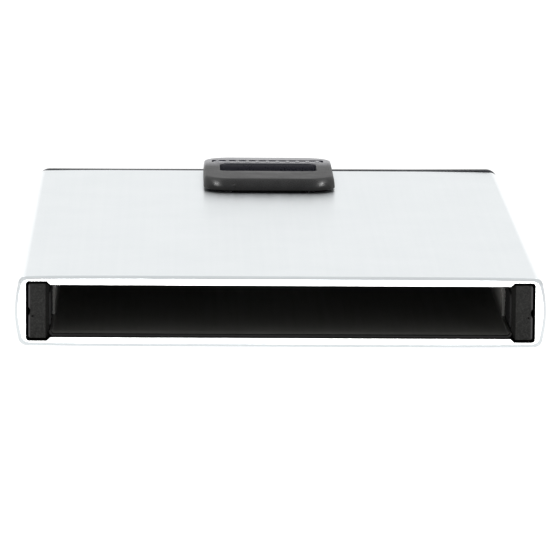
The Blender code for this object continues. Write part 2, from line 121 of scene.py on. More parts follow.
CAP_LIFT = 0.24
SCREW_X = (CAP_SCREW_LOW[0] + CAP_SCREW_HIGH[0]) / 2
SCREW_HEAD = (CAP_SCREW_HIGH[0] - CAP_SCREW_LOW[0]) / 2
BORE_RADIUS = 0.8
LOOP_CORNER = 3.3
LOOP_TOP_Z = LOOP_HIGH[2]
LOOP_BASE_Z = CASE_HEIGHT + 0.3
LOOP_FRONT_Y = LOOP_LOW[1]
LOOP_BACK_Y = LOOP_HIGH[1]
SLOT_HALF_WIDTH = 6.7
SLOT_FRONT_Y = LOOP_FRONT_Y + 9.3
SLOT_BACK_Y = SLOT_FRONT_Y + 6.9
LOOP_PLAY = -0.17
STEM_HALF_WIDTH = 5.0
STEM_FRONT_Y = LOOP_FRONT_Y + 0.9
STEM_BACK_Y = STEM_FRONT_Y + 4.5
TRAVEL = frame["joints"][0]["range_m"][1] / MM


# ---- mesh tools ---------------------------------------------------------------------------
def new_object(name, mesh):
    """Object with the mesh, linked into the scene."""
    obj = bpy.data.objects.new(name, mesh)
    bpy.context.scene.collection.objects.link(obj)
    return obj


def loft(name, rings, materials=(), closed=False, sharp=30.0):
    """Body through rings of equally many points, in millimetres.

    An open loft gets a flat face on each end; a closed one joins its last ring to its first.
    """
    mesh = bpy.data.meshes.new(name)
    bm = bmesh.new()
    levels = [[bm.verts.new((x * MM, y * MM, z * MM)) for x, y, z in ring] for ring in rings]
    count = len(levels[0])
    pairs = list(zip(levels, levels[1:]))
    if closed:
        pairs.append((levels[-1], levels[0]))
    else:
        bm.faces.new(levels[0])
        bm.faces.new(levels[-1])
    for low, high in pairs:
        for i in range(count):
            j = (i + 1) % count
            bm.faces.new((low[i], low[j], high[j], high[i]))
    bmesh.ops.recalc_face_normals(bm, faces=bm.faces)
    bm.to_mesh(mesh)
    bm.free()
    mesh.shade_smooth()
    mesh.set_sharp_from_angle(angle=math.radians(sharp))
    for mat in materials:
        mesh.materials.append(mat)
    return new_object(name, mesh)


def arc(cx, cy, radius, start, stop, steps):
    """Points on an arc from one angle to another, in degrees."""
    points = []
    for i in range(steps + 1):
        angle = math.radians(start + (stop - start) * i / steps)
        points.append((cx + radius * math.cos(angle), cy + radius * math.sin(angle)))
    return points


def rounded_rectangle(x0, x1, y0, y1, radius, steps=8, between=0):
    """Counter-clockwise outline; each straight side gets extra points when between is set."""
    corners = (arc(x0 + radius, y0 + radius, radius, 180, 270, steps),
               arc(x1 - radius, y0 + radius, radius, 270, 360, steps),
               arc(x1 - radius, y1 - radius, radius, 0, 90, steps),
               arc(x0 + radius, y1 - radius, radius, 90, 180, steps))
    points = []
    for i, corner in enumerate(corners):
        points += corner
        (ax, ay), (bx, by) = corner[-1], corners[(i + 1) % 4][0]
        for k in range(1, between + 1):
            t = k / (between + 1)
            points.append((ax + (bx - ax) * t, ay + (by - ay) * t))
    return points


def circle(cx, cy, radius, sides=48):
    """Closed counter-clockwise polygon on a circle, without a doubled last point."""
    return arc(cx, cy, radius, 0, 360 - 360 / sides, sides - 1)


def offset_outline(points, distance):
    """Moves a counter-clockwise outline inwards along its corner normals."""
    moved = []
    count = len(points)
    for i, (x, y) in enumerate(points):
        before = Vector(points[i - 1])
        after = Vector(points[(i + 1) % count])
        here = Vector((x, y))
        d0 = (here - before).normalized()
        d1 = (after - here).normalized()
        n0 = Vector((-d0.y, d0.x))
        n1 = Vector((-d1.y, d1.x))
        normal = (n0 + n1).normalized()
        reach = distance / max(normal.dot(n0), 0.4)
        moved.append((x + normal.x * reach, y + normal.y * reach))
    return moved


def along_y(outline, y):
    """Ring at y from an outline in X and Z about the middle of the sleeve's height."""
    return [(px, y, MID_Z + pz) for px, pz in outline]


def along_z(outline, z):
    """Ring at height z from an outline in X and Y."""
    return [(px, py, z) for px, py in outline]


def prism_y(outline, y0, y1, mat):
    """Tool for combine(): an outline in X and Z, drawn out along Y."""
    return loft("tool", [along_y(outline, y) for y in (y0, y1)], [mat])


def prism_z(outline, z0, z1, mat):
    """Tool for combine(): an outline in X and Y, drawn out along Z."""
    return loft("tool", [along_z(outline, z) for z in (z0, z1)], [mat])


def soft_corner(before, corner, after, steps=3):
    """Points that round a corner of a profile, on a quadratic curve."""
    points = []
    for i in range(steps + 1):
        t = i / steps
        a, b, c = (1 - t) ** 2, 2 * t * (1 - t), t * t
        points.append(tuple(a * p + b * q + c * r for p, q, r in zip(before, corner, after)))
    return points


def soft_prism_z(name, outline, z0, z1, edge, materials=()):
    """Prism along Z whose end edges are rounded over by edge."""
    rounding = [(edge * (1 - math.sin(a)), edge * (1 - math.cos(a)))
                for a in (math.radians(30 * k) for k in range(4))]
    stations = [(inset, z0 + rise) for inset, rise in rounding]
    stations += [(inset, z1 - rise) for inset, rise in reversed(rounding)]
    return loft(name, [along_z(offset_outline(outline, i), z) for i, z in stations], materials)


def apply_modifiers(obj):
    """Replaces the object's mesh by what its modifiers make of it."""
    graph = bpy.context.evaluated_depsgraph_get()
    mesh = bpy.data.meshes.new_from_object(obj.evaluated_get(graph))
    old = obj.data
    obj.modifiers.clear()
    obj.data = mesh
    bpy.data.meshes.remove(old)


def combine(target, tool, operation="DIFFERENCE", sharp=30.0):
    """Cuts the tool away, or joins it on, and deletes it."""
    step = target.modifiers.new("combine", "BOOLEAN")
    step.operation = operation
    step.solver = "EXACT"
    step.material_mode = "TRANSFER"
    step.object = tool
    apply_modifiers(target)
    bpy.data.objects.remove(tool, do_unlink=True)
    target.data.set_sharp_from_angle(angle=math.radians(sharp))


def round_edges(obj, width, angle=35.0, segments=2):
    """Rounds every edge sharper than angle by a small radius; flat faces keep flat shading."""
    step = obj.modifiers.new("round", "BEVEL")
    step.width = width * MM
    step.segments = segments
    step.limit_method = "ANGLE"
    step.angle_limit = math.radians(angle)
    step.use_clamp_overlap = True
    weigh = obj.modifiers.new("weigh", "WEIGHTED_NORMAL")
    weigh.weight = 100
    weigh.keep_sharp = True
    apply_modifiers(obj)


def paint_faces(obj, mat, chosen):
    """Gives a material of their own to the faces for which chosen(centre in mm, normal) holds."""
    obj.data.materials.append(mat)
    index = len(obj.data.materials) - 1
    for face in obj.data.polygons:
        if chosen(face.center / MM, face.normal):
            face.material_index = index


def place(obj, body, node):
    """Ties a fine piece to its body and hides the CAD node it stands for."""
    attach(obj, body)
    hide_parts(node)
    return obj


# ---- materials ----------------------------------------------------------------------------
# Scales of noise and cells are per metre, bump heights are metres, colours are linear.
class Nodes:
    """Small builder for a material's node tree."""

    def __init__(self, name):
        self.material = bpy.data.materials.new(name)
        self.material.use_nodes = True
        self.tree = self.material.node_tree
        self.shader = self.tree.nodes["Principled BSDF"]
        self.coordinates = self.tree.nodes.new("ShaderNodeTexCoord").outputs["Object"]

    def add(self, kind, inputs=(), **settings):
        """New node; an input that is a socket gets linked, any other value is set."""
        node = self.tree.nodes.new(kind)
        for key, value in settings.items():
            setattr(node, key, value)
        for key, value in dict(inputs).items():
            if isinstance(value, bpy.types.NodeSocket):
                self.tree.links.new(value, node.inputs[key])
            else:
                node.inputs[key].default_value = value
        return node

    def stretched(self, scale):
        """Object coordinates with a scale of their own along each axis, per metre."""
        return self.add("ShaderNodeMapping", {"Vector": self.coordinates, "Scale": scale}).outputs[0]

    def noise(self, scale, detail=2.0, rough=0.5, vector=None):
        """Fractal noise of the object's coordinates, 0 to 1."""
        node = self.add("ShaderNodeTexNoise", {"Vector": vector or self.coordinates, "Scale": scale,
                                               "Detail": detail, "Roughness": rough})
        return node.outputs["Fac"]

    def cells(self, scale):
        """Distance to the nearest of many scattered points."""
        node = self.add("ShaderNodeTexVoronoi", {"Vector": self.coordinates, "Scale": scale})
        return node.outputs["Distance"]

    def remap(self, value, low, high, to_low, to_high):
        """Clamped linear change of range."""
        node = self.add("ShaderNodeMapRange", {"Value": value, "From Min": low, "From Max": high,
                                               "To Min": to_low, "To Max": to_high}, clamp=True)
        return node.outputs["Result"]

    def along(self, axis, low, high, to_low, to_high):
        """Straight ramp along one axis of the object, between two places in millimetres."""
        split = self.add("ShaderNodeSeparateXYZ", {0: self.coordinates})
        return self.remap(split.outputs[axis], low * MM, high * MM, to_low, to_high)

    def math(self, operation, a, b=0.0):
        """One arithmetic step on two numbers."""
        return self.add("ShaderNodeMath", {0: a, 1: b}, operation=operation).outputs[0]

    def mix(self, factor, a, b):
        """Colour between a, at factor 0, and b, at factor 1."""
        node = self.add("ShaderNodeMix", data_type="RGBA")
        for index, value in ((0, factor), (6, a), (7, b)):
            if isinstance(value, bpy.types.NodeSocket):
                self.tree.links.new(value, node.inputs[index])
            else:
                node.inputs[index].default_value = value
        return node.outputs[2]

    def bump(self, height, strength, distance, normal=None):
        """Normal that follows a height, on top of an earlier normal if one is given."""
        inputs = {"Height": height, "Strength": strength, "Distance": distance}
        if normal is not None:
            inputs["Normal"] = normal
        return self.add("ShaderNodeBump", inputs).outputs["Normal"]

    def set(self, **sockets):
        """Sets or links the shader's sockets; underscores stand for spaces."""
        for key, value in sockets.items():
            socket = self.shader.inputs[key.replace("_", " ")]
            if isinstance(value, bpy.types.NodeSocket):
                self.tree.links.new(value, socket)
            else:
                socket.default_value = value


def rgb(r, g, b):
    """Opaque linear colour."""
    return (r, g, b, 1.0)


def satin_aluminium():
    """Bead-blasted, anodised skin: fine even grain, faint draw lines along Y, soft mottling, and a painted
    highlight along the top side edges.
    """
    n = Nodes("satin_aluminium")
    grain = n.noise(7500, 3.0, 0.6)
    speck = n.noise(2600, 2.0, 0.5)
    clouds = n.noise(110, 3.0, 0.55)
    draw = n.noise(1.0, 2.0, 0.5, n.stretched((1400, 9, 1400)))
    tone = n.remap(clouds, 0.3, 0.7, 0.0, 1.0)
    base = n.mix(tone, rgb(0.650, 0.683, 0.697), rgb(0.676, 0.707, 0.720))
    pits = n.remap(speck, 0.68, 0.76, 0.0, 0.10)
    base = n.mix(pits, base, rgb(0.58, 0.61, 0.64))
    dust = n.remap(n.cells(95), 0.0, 0.035, 0.16, 0.0)
    base = n.mix(dust, base, rgb(0.42, 0.43, 0.44))
    # Painted highlight: the top side edges, behind the mouth's first millimetre, are mixed towards
    # near-white.
    across = n.math("ABSOLUTE", n.along("X", -100, 100, -100, 100))
    sheen_mask = n.remap(across, CASE_WIDTH / 2 - 1.4, CASE_WIDTH / 2 - 0.7, 0.0, 0.85)
    sheen_mask = n.math("MULTIPLY", sheen_mask, n.along("Y", MOUTH_Y + 0.4, MOUTH_Y + 1.0, 0.0, 1.0))
    sheen_mask = n.math("MULTIPLY", sheen_mask, n.along("Z", CASE_HEIGHT - 1.2, CASE_HEIGHT - 0.5, 0.0, 1.0))
    base = n.mix(sheen_mask, base, rgb(0.97, 0.98, 0.99))
    rough = n.math("ADD", n.remap(grain, 0.35, 0.65, 0.29, 0.35), n.remap(draw, 0.3, 0.7, -0.015, 0.02))
    normal = n.bump(grain, 0.18, 0.00002)
    normal = n.bump(draw, 0.06, 0.00003, normal)
    n.set(Base_Color=base, Metallic=1.0, Roughness=rough, Normal=normal)
    return n.material


def milled_aluminium():
    """Bare cut end of the sleeve, with fine cutter marks across it and a painted bluish shade at its left
    end.
    """
    n = Nodes("milled_aluminium")
    marks = n.noise(1.0, 3.0, 0.6, n.stretched((260, 260, 9000)))
    swirl = n.noise(1500, 2.0)
    base = n.mix(n.remap(marks, 0.3, 0.7, 0.0, 1.0), rgb(0.86, 0.875, 0.87), rgb(0.93, 0.935, 0.92))
    # Painted shade: bluish darkening over the left 2 mm of the cut faces.
    painted_left_shade = n.along("X", -CASE_WIDTH / 2 + 0.2, -CASE_WIDTH / 2 + 2.2, 0.8, 0.0)
    base = n.mix(painted_left_shade, base, rgb(0.36, 0.43, 0.48))
    rough = n.remap(swirl, 0.3, 0.7, 0.30, 0.42)
    n.set(Base_Color=base, Metallic=1.0, Roughness=rough, Normal=n.bump(marks, 0.12, 0.00002))
    return n.material


def painted_shade_black():
    """Dull near-black used as painted shade: inside the sleeve round the blocks, on the lining's front lip
    and on the loop's stem.
    """
    n = Nodes("black_inner_painted_shade")
    dust = n.noise(3000, 3.0)
    base = n.mix(n.remap(dust, 0.4, 0.7, 0.0, 1.0), rgb(0.003, 0.003, 0.003), rgb(0.006, 0.006, 0.006))
    n.set(Base_Color=base, Roughness=n.remap(dust, 0.3, 0.7, 0.6, 0.75), Specular_IOR_Level=0.15,
          Normal=n.bump(dust, 0.2, 0.00002))
    return n.material


def liner_black(name, shine, rough):
    """Thin black lining: semi-gloss, with a little haze, a few fibres and rub marks along Y."""
    n = Nodes(name)
    rub = n.noise(1.0, 3.0, 0.6, n.stretched((900, 25, 900)))
    haze = n.noise(160, 3.0, 0.6)
    fine = n.noise(5200, 2.0)
    lint = n.remap(n.cells(260), 0.0, 0.03, 0.25, 0.0)
    base = n.mix(n.remap(haze, 0.3, 0.7, 0.0, 1.0), rgb(0.066, 0.066, 0.062), rgb(0.078, 0.077, 0.073))
    base = n.mix(lint, base, rgb(0.09, 0.09, 0.085))
    gloss = n.math("ADD", n.remap(rub, 0.3, 0.7, rough, rough + 0.06), n.remap(haze, 0.3, 0.7, -0.02, 0.02))
    n.set(Base_Color=base, Roughness=gloss, Specular_IOR_Level=shine,
          Normal=n.bump(fine, 0.05, 0.00001, n.bump(rub, 0.05, 0.00001)))
    return n.material


def wall_with_painted_light(name, shine, rough, pale):
    """Side wall of the lining with painted light: pale just behind the mouth blocks and higher up, darker
    farther in and lower down.
    """
    n = Nodes(name)
    rub = n.noise(1.0, 3.0, 0.6, n.stretched((900, 25, 900)))
    near = MOUTH_Y + BLOCK_LENGTH
    # Painted light: pale where light through the mouth would fall, fading with depth and towards the floor.
    fade = n.along("Y", near, near + 26, 1.0, 0.0)
    rise = n.along("Z", MID_Z - 2.6, MID_Z + 0.5, 0.03, 1.0)
    painted_light = n.math("MULTIPLY", fade, rise)
    painted_light = n.math("MULTIPLY", painted_light, n.remap(rub, 0.25, 0.75, 0.8, 1.0))
    base = n.mix(painted_light, rgb(0.040, 0.040, 0.038), rgb(pale, pale, pale * 0.95))
    n.set(Base_Color=base, Roughness=n.remap(rub, 0.3, 0.7, rough, rough + 0.06),
          Specular_IOR_Level=shine, Normal=n.bump(rub, 0.05, 0.00001))
    return n.material


def speckled_block(name, dark, light, rough_low, rough_high):
    """Filled plastic with a fine pale speckle, a spark-eroded surface and a painted highlight just inside
    its outer edge.
    """
    n = Nodes(name)
    flecks = n.noise(6200, 3.0, 0.65)
    patches = n.noise(1300, 2.0)
    relief = n.noise(4200, 4.0, 0.6)
    base = n.mix(n.remap(flecks, 0.42, 0.66, 0.0, 1.0), dark, light)
    base = n.mix(n.remap(patches, 0.35, 0.7, 0.0, 0.35), base, dark)
    # Painted highlight: a paler line just inside the outer edge, where an eased edge would catch light.
    across = n.math("ABSOLUTE", n.along("X", -100, 100, -100, 100))
    painted_edge_highlight = n.remap(across, BLOCK_HIGH[0] - 0.26, BLOCK_HIGH[0] - 0.16, 0.0, 0.7)
    base = n.mix(painted_edge_highlight, base, rgb(0.045, 0.043, 0.045))
    n.set(Base_Color=base, Roughness=n.remap(relief, 0.3, 0.7, rough_low, rough_high),
          Specular_IOR_Level=0.12, Normal=n.bump(relief, 0.35, 0.00004))
    return n.material


def loop_black(name, shine=0.15, sheen_tint=0.8):
    """Semi-gloss moulding with a fine leathery texture, smoother at the back, with a painted bluish sheen
    there.
    """
    n = Nodes(name)
    texture = n.noise(5200, 3.0, 0.55)
    wear = n.noise(420, 4.0, 0.6)
    sheen_mask = n.along("Y", SLOT_BACK_Y - 3, LOOP_BACK_Y - 5, 0.0, 1.0)
    base = n.mix(n.remap(wear, 0.35, 0.7, 0.0, 1.0), rgb(0.006, 0.006, 0.0063), rgb(0.010, 0.010, 0.0104))
    # Painted sheen: a paler bluish tone over the back bar, standing in for its bright grazing reflection.
    base = n.mix(n.math("MULTIPLY", sheen_mask, sheen_tint), base, rgb(0.045, 0.046, 0.066))
    base = n.mix(n.remap(n.cells(700), 0.0, 0.06, 0.3, 0.0), base, rgb(0.06, 0.06, 0.065))
    rough = n.math("ADD", n.remap(texture, 0.3, 0.7, 0.42, 0.50), n.remap(wear, 0.3, 0.7, -0.04, 0.05))
    rough = n.math("SUBTRACT", rough, n.math("MULTIPLY", sheen_mask, 0.28))
    handled = n.along("Y", LOOP_FRONT_Y + 1.6, LOOP_FRONT_Y + 2.6, 0.18, 0.0)
    rough = n.math("SUBTRACT", rough, handled)
    n.set(Base_Color=base, Roughness=rough, Specular_IOR_Level=shine,
          Normal=n.bump(texture, 0.14, 0.00003))
    return n.material


def cap_black():
    """Matt black moulding with a fine grain and a slight bluish haze."""
    n = Nodes("cap_black")
    texture = n.noise(3600, 4.0, 0.6)
    haze = n.noise(260, 3.0)
    base = n.mix(n.remap(haze, 0.3, 0.7, 0.0, 1.0), rgb(0.009, 0.010, 0.015), rgb(0.013, 0.014, 0.020))
    n.set(Base_Color=base, Roughness=n.remap(texture, 0.3, 0.7, 0.42, 0.55),
          Specular_IOR_Level=0.4, Normal=n.bump(texture, 0.3, 0.00004))
    return n.material


def rubber_pad():
    """Dull black rubber with a fine grain."""
    n = Nodes("pad_rubber")
    texture = n.noise(5200, 3.0, 0.6)
    base = n.mix(n.remap(texture, 0.35, 0.7, 0.0, 1.0), rgb(0.004, 0.004, 0.004), rgb(0.009, 0.009, 0.009))
    n.set(Base_Color=base, Roughness=n.remap(texture, 0.3, 0.7, 0.7, 0.85),
          Specular_IOR_Level=0.25, Normal=n.bump(texture, 0.3, 0.00003))
    return n.material


def turned_steel(name, tone, axis_scale, rough):
    """Plated steel with fine lines along or across the piece and a few dull spots."""
    n = Nodes(name)
    lines = n.noise(1.0, 3.0, 0.6, n.stretched(axis_scale))
    spots = n.noise(900, 3.0, 0.6)
    base = n.mix(n.remap(lines, 0.3, 0.7, 0.0, 1.0), rgb(tone * 0.9, tone * 0.9, tone * 0.88),
                 rgb(tone, tone, tone * 0.99))
    base = n.mix(n.remap(spots, 0.6, 0.75, 0.0, 0.3), base, rgb(0.3, 0.29, 0.27))
    n.set(Base_Color=base, Metallic=1.0, Roughness=n.remap(spots, 0.3, 0.7, rough, rough + 0.12),
          Normal=n.bump(lines, 0.12, 0.00002))
    return n.material


def smooth_plastic(name, dark, light, rough):
    """Machined or moulded plastic with light rub marks along its travel."""
    n = Nodes(name)
    rub = n.noise(1.0, 3.0, 0.6, n.stretched((2200, 60, 2200)))
    haze = n.noise(700, 3.0)
    base = n.mix(n.remap(haze, 0.3, 0.7, 0.0, 1.0), dark, light)
    n.set(Base_Color=base, Roughness=n.remap(rub, 0.3, 0.7, rough - 0.05, rough + 0.08),
          Normal=n.bump(rub, 0.1, 0.00002))
    return n.material


def felt():
    """Pressed felt: matted fibres in two directions and a loose nap."""
    n = Nodes("bumper_felt")
    a = n.noise(1.0, 3.0, 0.6, n.stretched((900, 900, 9000)))
    b = n.noise(1.0, 3.0, 0.6, n.stretched((9000, 900, 1100)))
    nap = n.noise(4200, 4.0, 0.7)
    height = n.math("ADD", n.math("MULTIPLY", a, b), n.math("MULTIPLY", nap, 0.4))
    base = n.mix(n.remap(height, 0.3, 0.65, 0.0, 1.0), rgb(0.018, 0.018, 0.019), rgb(0.07, 0.07, 0.073))
    n.set(Base_Color=base, Roughness=0.95, Sheen_Weight=0.3, Sheen_Roughness=0.5,
          Normal=n.bump(height, 0.8, 0.0001))
    return n.material


# ---- outlines of the sleeve ---------------------------------------------------------------
def sleeve_outline(inset=0.0, crown=CROWN, bulge=SIDE_BULGE, corner=CORNER):
    """The sleeve's section about its centre, counter-clockwise seen from the mouth's far side."""
    crown_steps, corner_steps, side_steps = 10, 8, 12
    half_height = CASE_HEIGHT / 2 - inset
    corner_x = CASE_WIDTH / 2 - bulge - inset
    last_top_x = corner_x - corner
    run = last_top_x - FLAT_HALF
    quarter = []
    for i in range(crown_steps):
        t = i / crown_steps
        quarter.append((FLAT_HALF + run * t, half_height - crown * t ** 2))
    shoulder_z = half_height - crown - corner
    for i in range(corner_steps + 1):
        angle = math.radians(90 * i / corner_steps)
        quarter.append((last_top_x + corner * math.sin(angle),
                        shoulder_z + corner * math.cos(angle)))
    for i in range(1, side_steps + 1):
        z = shoulder_z * (1 - i / side_steps)
        quarter.append((corner_x + bulge * (1 - (z / shoulder_z) ** 2), z))
    right = quarter + [(x, -z) for x, z in reversed(quarter[:-1])]
    return right + [(-x, -z) for x, z in right]


def cap_outline(inset):
    """Section of the cap, whose top edge stands slightly proud of the sleeve on the right."""
    points = []
    for x, z in sleeve_outline(inset, 0.0, CAP_BULGE, CAP_CORNER):
        lift = CAP_LIFT * max(0.0, 2 * x / CASE_WIDTH - 0.15) ** 1.2 if z > 0 else 0.0
        points.append((x, z + lift))
    return points


def cavity_outline():
    """Inside of the sleeve: the flat cavity with a higher channel along each side."""
    radius = 0.4
    right = [(CAVITY_HALF_WIDTH, CAVITY_HALF_HEIGHT),
             (CAVITY_HALF_WIDTH + STEP, CHANNEL_HALF_HEIGHT)]
    right += [(CHANNEL_HALF_WIDTH - radius + radius * math.sin(math.radians(a)),
               CHANNEL_HALF_HEIGHT - radius + radius * math.cos(math.radians(a)))
              for a in range(0, 91, 15)]
    right += [(x, -z) for x, z in reversed(right)]
    return right + [(-x, -z) for x, z in right]


def block_outline():
    """Section of the right channel block, with the groove in its outer side."""
    top = CHANNEL_HALF_HEIGHT - FIT_GAP
    outer = CHANNEL_HALF_WIDTH - FIT_GAP
    radius = 0.35
    groove_half, groove_depth, groove_slope = 0.55, 0.22, 0.34
    points = [(BLOCK_INNER, -(top - STEP)), (BLOCK_INNER + STEP, -top)]
    points += arc(outer - radius, -top + radius, radius, 270, 360, 6)
    low, high = -groove_half - GROOVE_DROP, groove_half - GROOVE_DROP
    points += [(outer, low), (outer - 0.1, low + 0.1), (outer - groove_depth, low + groove_slope),
               (outer - groove_depth, high - groove_slope), (outer - 0.1, high - 0.1), (outer, high)]
    points += arc(outer - radius, top - radius, radius, 0, 90, 6)
    points += [(BLOCK_INNER + STEP, top), (BLOCK_INNER, top - STEP)]
    return points


# ---- pieces of the case body --------------------------------------------------------------
def make_sleeve(skin, cut, shade_coat):
    """Extruded sleeve: chamfered mouth, inside in near-black painted shade, stem slot with an eased rim."""
    c, soft = MOUTH_CHAMFER, 0.05
    front = soft_corner((c + soft, 0.0), (c, 0.0), (c - soft, soft))
    front += soft_corner((soft, c - soft), (0.0, c), (0.0, c + soft))
    r = REAR_CHAMFER
    rear = soft_corner((0.0, r + soft), (0.0, r), (soft * 0.6, r - soft * 0.6), 2)
    rear += soft_corner((r - soft * 0.6, soft * 0.6), (r, 0.0), (r + soft, 0.0), 2)
    profile = [(inset, MOUTH_Y + y) for inset, y in front]
    profile += [(inset, SLEEVE_END_Y - y) for inset, y in rear]
    sleeve = loft("sleeve_skin", [along_y(sleeve_outline(i), y) for i, y in profile], [skin])
    # The cavity's faces take the near-black painted shade, which darkens the gaps round the blocks and
    # lining.
    combine(sleeve, prism_y(cavity_outline(), MOUTH_Y - 5, BACK_Y + 5, shade_coat))
    slot_corner = 1.2
    slot = rounded_rectangle(-STEM_HALF_WIDTH - FIT_GAP, STEM_HALF_WIDTH + FIT_GAP,
                             STEM_FRONT_Y - FIT_GAP, STEM_BACK_Y + TRAVEL + FIT_GAP, slot_corner, 10)
    combine(sleeve, prism_z(slot, CEILING_Z - 1, CASE_HEIGHT + 1, cut))
    paint_faces(sleeve, cut, lambda centre, normal: abs(normal.y) > 0.99)
    round_edges(sleeve, 0.045, 40)
    return place(sleeve, "case", "shell")


def make_liner(mat, edge_mat, wall_mat, shaded_lip_mat):
    """Black lining, one thin bent sheet: flared front lip, rolled edges behind the mouth blocks."""
    half_x = LINER_HIGH[0] + 0.2
    half_z = MID_Z - LINER_LOW[2]
    y0, y1 = LINER_LOW[1], LINER_HIGH[1]
    outer = rounded_rectangle(-half_x, half_x, -half_z, half_z, LINER_RADIUS, 14)
    wall, flare = LINER_WALL, 0.15
    stations = ((-flare, y0 + 0.08), (0.05 - flare, y0 + 0.02), (0.12 - flare, y0),
                (wall - 0.12 - flare, y0), (wall - 0.05 - flare, y0 + 0.02), (wall - flare, y0 + 0.08),
                (wall - 0.85 * flare, y0 + 0.5), (wall - 0.3 * flare, y0 + 1.0), (wall, y0 + 1.6),
                (wall, y1 - 0.05), (wall - 0.05, y1), (0.05, y1), (0.0, y1 - 0.05),
                (0.0, y0 + 1.6), (-0.3 * flare, y0 + 1.0), (-0.85 * flare, y0 + 0.5))
    rings = [along_y(offset_outline(outer, inset), y) for inset, y in stations]
    liner = loft("liner_skin", rings, [mat], closed=True)
    above = CASE_HEIGHT + 2
    cut_corner = 0.4
    lip_half = BLOCK_INNER - 0.9
    lip_z = LINER_LOW[2] + wall + 0.15
    lip_length = 0.45
    top_setback = 3.4
    block_end = BLOCK_HIGH[1] + FIT_GAP
    for side in (-1, 1):
        x0, x1 = sorted((side * lip_half, side * CASE_WIDTH))
        outline = rounded_rectangle(x0, x1, MOUTH_Y - 5, block_end, cut_corner)
        combine(liner, prism_z(outline, lip_z, above, mat))
    outline = rounded_rectangle(-lip_half - 1, lip_half + 1, MOUTH_Y - 5, MOUTH_Y + top_setback,
                                cut_corner)
    combine(liner, prism_z(outline, MID_Z, above, mat))
    # The side walls take the painted light.
    paint_faces(liner, wall_mat, lambda centre, normal: abs(normal.x) > 0.5)
    # The front lip gets the near-black painted shade, as if it lay in shadow.
    paint_faces(liner, shaded_lip_mat, lambda centre, normal: centre.y < y0 + lip_length)
    bead_radius, bead_sink = 0.24, 0.08
    # Rolled edges: the side-wall paint with a paler painted highlight near the mouth.
    for side in (-1, 1):
        bead = circle(side * (half_x - bead_sink), block_end + 0.3, bead_radius, 32)
        combine(liner, prism_z(bead, lip_z - 0.25, LINER_HIGH[2] - 0.1, edge_mat), "UNION", 40)
    notch = rounded_rectangle(GUIDE_LOW[0] - FIT_GAP, GUIDE_HIGH[0] + FIT_GAP, GUIDE_LOW[1] - FIT_GAP,
                              BACK_Y + 5, 0.5)
    combine(liner, prism_z(notch, MID_Z, above, mat))
    return place(liner, "case", "inner_liner")


def make_block(name, side, front_y, mat, at_mouth):
    """Channel block: eased edges and a groove outside.

    At the mouth it also has a lead-in, a pocket for its pad and a gate mark; at the rear, a bore
    for the cap's screw.
    """
    outline = block_outline()
    edge = 0.1
    sharp = 28
    back_y = front_y + BLOCK_LENGTH
    stations = [(0.1, front_y), (0.03, front_y + 0.03), (0.0, front_y + edge),
                (0.0, back_y - edge), (0.03, back_y - 0.03), (0.1, back_y)]
    rings = [[(side * x, y, MID_Z + z) for x, z in offset_outline(outline, inset)]
             for inset, y in stations]
    body = loft(name + "_fine", rings, [mat], sharp=sharp)
    if at_mouth:
        near = BLOCK_INNER - 1
        far = BLOCK_INNER + LEAD_IN_WIDTH
        end_y = front_y + LEAD_IN_LENGTH
        wedge = [(side * near, front_y - 1), (side * far, front_y - 1), (side * far, front_y)]
        turn = soft_corner((BLOCK_INNER + 0.12, end_y - 0.35), (BLOCK_INNER, end_y),
                           (BLOCK_INNER - 0.01, end_y + 0.4))
        wedge += [(side * x, y) for x, y in turn]
        wedge.append((side * near, end_y + 0.4))
        combine(body, prism_z(wedge, -1, CASE_HEIGHT + 1, mat), sharp=sharp)
        x0, x1 = sorted((side * near, side * (PAD_HIGH[0] + FIT_GAP)))
        pocket = rounded_rectangle(PAD_LOW[1] - FIT_GAP, PAD_HIGH[1] + FIT_GAP,
                                   PAD_LOW[2] - FIT_GAP, PAD_HIGH[2] + FIT_GAP, 0.4)
        rings = [[(x, y, z) for y, z in pocket] for x in (x0, x1)]
        combine(body, loft("tool", rings, [mat]), sharp=sharp)
        gate_radius, gate_depth = 0.14, 0.4
        gate = circle(side * (CHANNEL_HALF_WIDTH - 0.82), -0.62, gate_radius, 16)
        combine(body, prism_y(gate, front_y - 1, front_y + gate_depth, mat), sharp=sharp)
    else:
        bore_start = front_y + 4
        bore = circle(side * SCREW_X, 0.0, BORE_RADIUS, 32)
        combine(body, prism_y(bore, bore_start, BACK_Y + 5, mat), sharp=sharp)
    return place(body, "case", name)


def make_pad(name, side, mat):
    """Rubber pad with shallow lengthwise ribs that grip what is stored."""
    low, high = box_mm(name)
    face = PAD_LOW[0]
    back = PAD_HIGH[0]
    ribs = 7
    steps = 6 * ribs
    half = (high[2] - low[2]) / 2
    mid = (high[2] + low[2]) / 2
    profile = [(back, half), (face + 0.12, half), (face + 0.05, half - 0.05)]
    for i in range(steps + 1):
        z = (half - 0.12) * (1 - 2 * i / steps)
        groove = 0.05 + 0.05 * math.cos(2 * math.pi * ribs * i / steps)
        profile.append((face + groove * 0.9, z))
    profile += [(face + 0.05, -half + 0.05), (face + 0.12, -half), (back, -half)]
    ends = [(0.08, low[1]), (0.0, low[1] + 0.1), (0.0, high[1] - 0.1), (0.08, high[1])]
    centre = (face + back) / 2
    rings = []
    for inset, y in ends:
        shrink = 1 - inset / half
        rings.append([(side * (centre + (x - centre) * shrink), y, mid + z * shrink)
                      for x, z in profile])
    return place(loft(name + "_fine", rings, [mat], sharp=60), "case", name)


